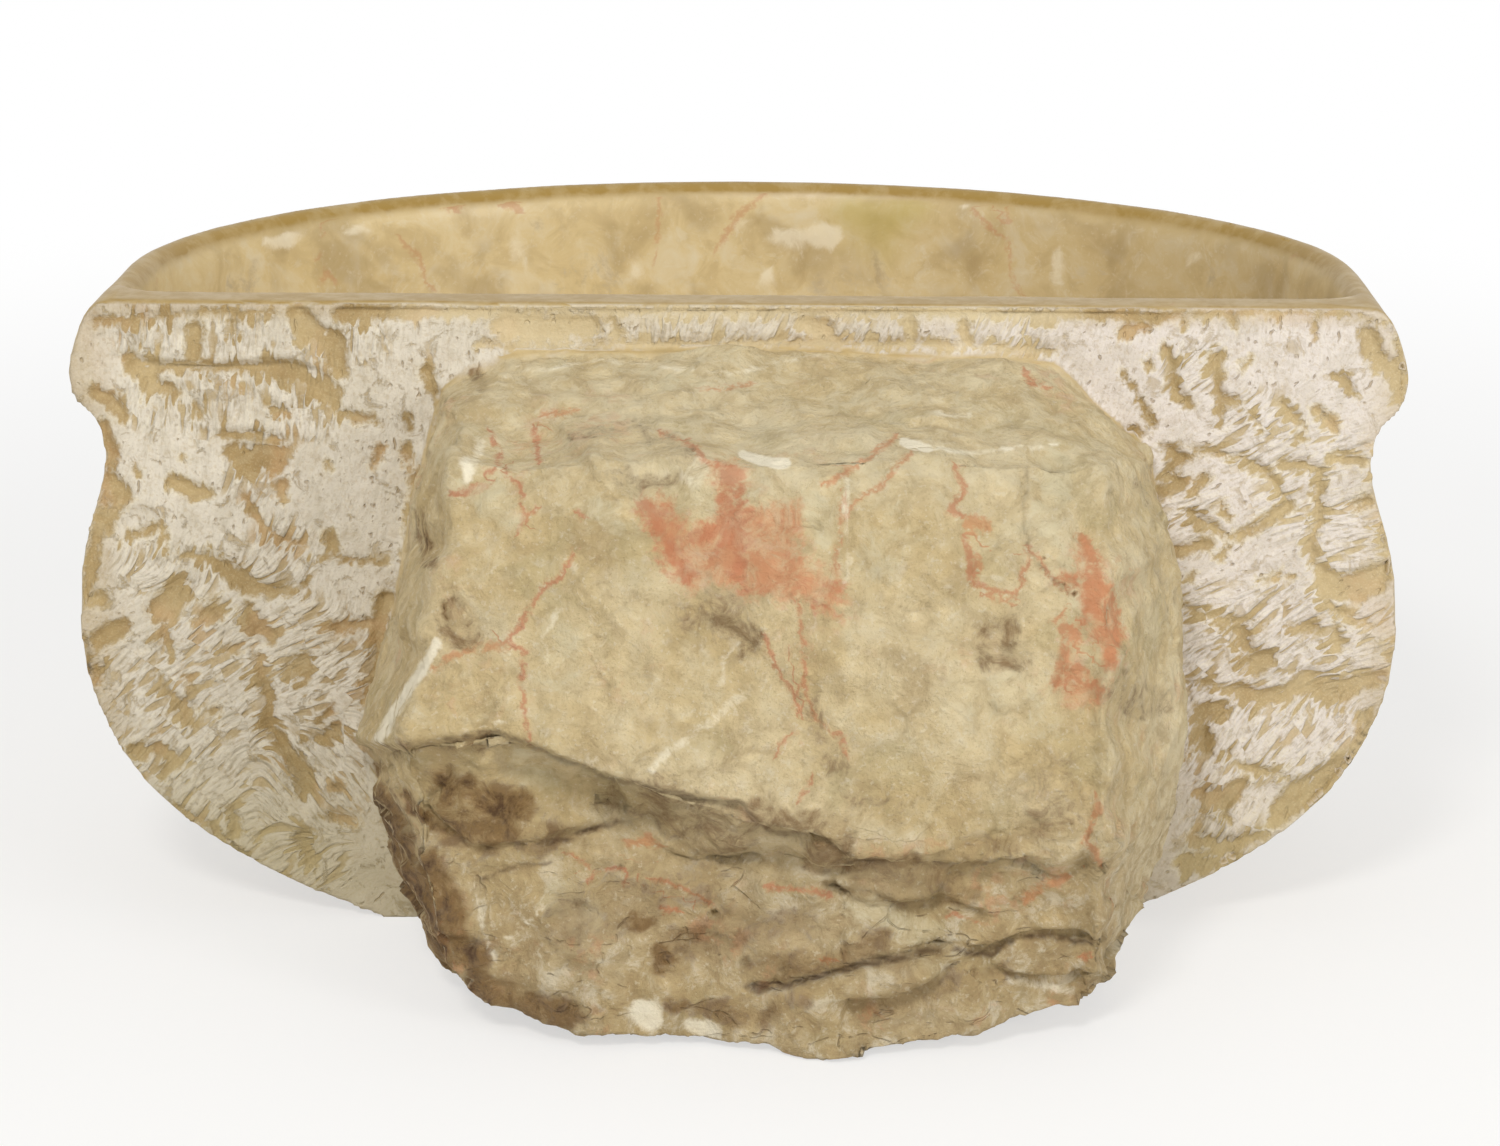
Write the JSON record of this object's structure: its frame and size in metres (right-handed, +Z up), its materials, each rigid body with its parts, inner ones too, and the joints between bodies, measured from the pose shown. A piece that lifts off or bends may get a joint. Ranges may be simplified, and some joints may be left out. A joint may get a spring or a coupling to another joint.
{
  "type": "wall font",
  "caption": "Half-round marble wall font with a roll rim, a flat dressed back and a rough tail to build into a wall; a lift-out plug closes the outlet in its floor.",
  "frame": {"origin": "on the ground, under the middle of the flat back face", "axes": "+Z up; +Y out of the back face, along the tail; the bow front faces -Y; +X to the right of someone who faces the bow front"},
  "size_m": [0.71, 0.5867, 0.347],
  "materials": {
    "marble": "cream to tan marble with pink-red veins: claw-dressed back, broken tail, rubbed smooth inside and out",
    "brass": "turned brass, dulled with age",
    "rubber": "black rubber"
  },
  "bodies": {
    "font": {"font_stone": "marble", "waste_body": "brass", "flange_washer": "rubber", "nut_washer": "rubber", "back_nut": "brass"},
    "plug": {"waste_plug": "brass"},
    "ring": {"plug_ring": "brass"}
  },
  "joints": [
    {"name": "plug_lift", "type": "slide", "parent": "font", "child": "plug", "axis": [0, 0, 1], "range_m": [0, 0.27]},
    {"name": "ring_swing", "type": "hinge", "parent": "plug", "child": "ring", "pos_m": [0, -0.16548, 0.0992], "axis": [-1, 0, 0], "range_deg": [0, 192]}
  ]
}
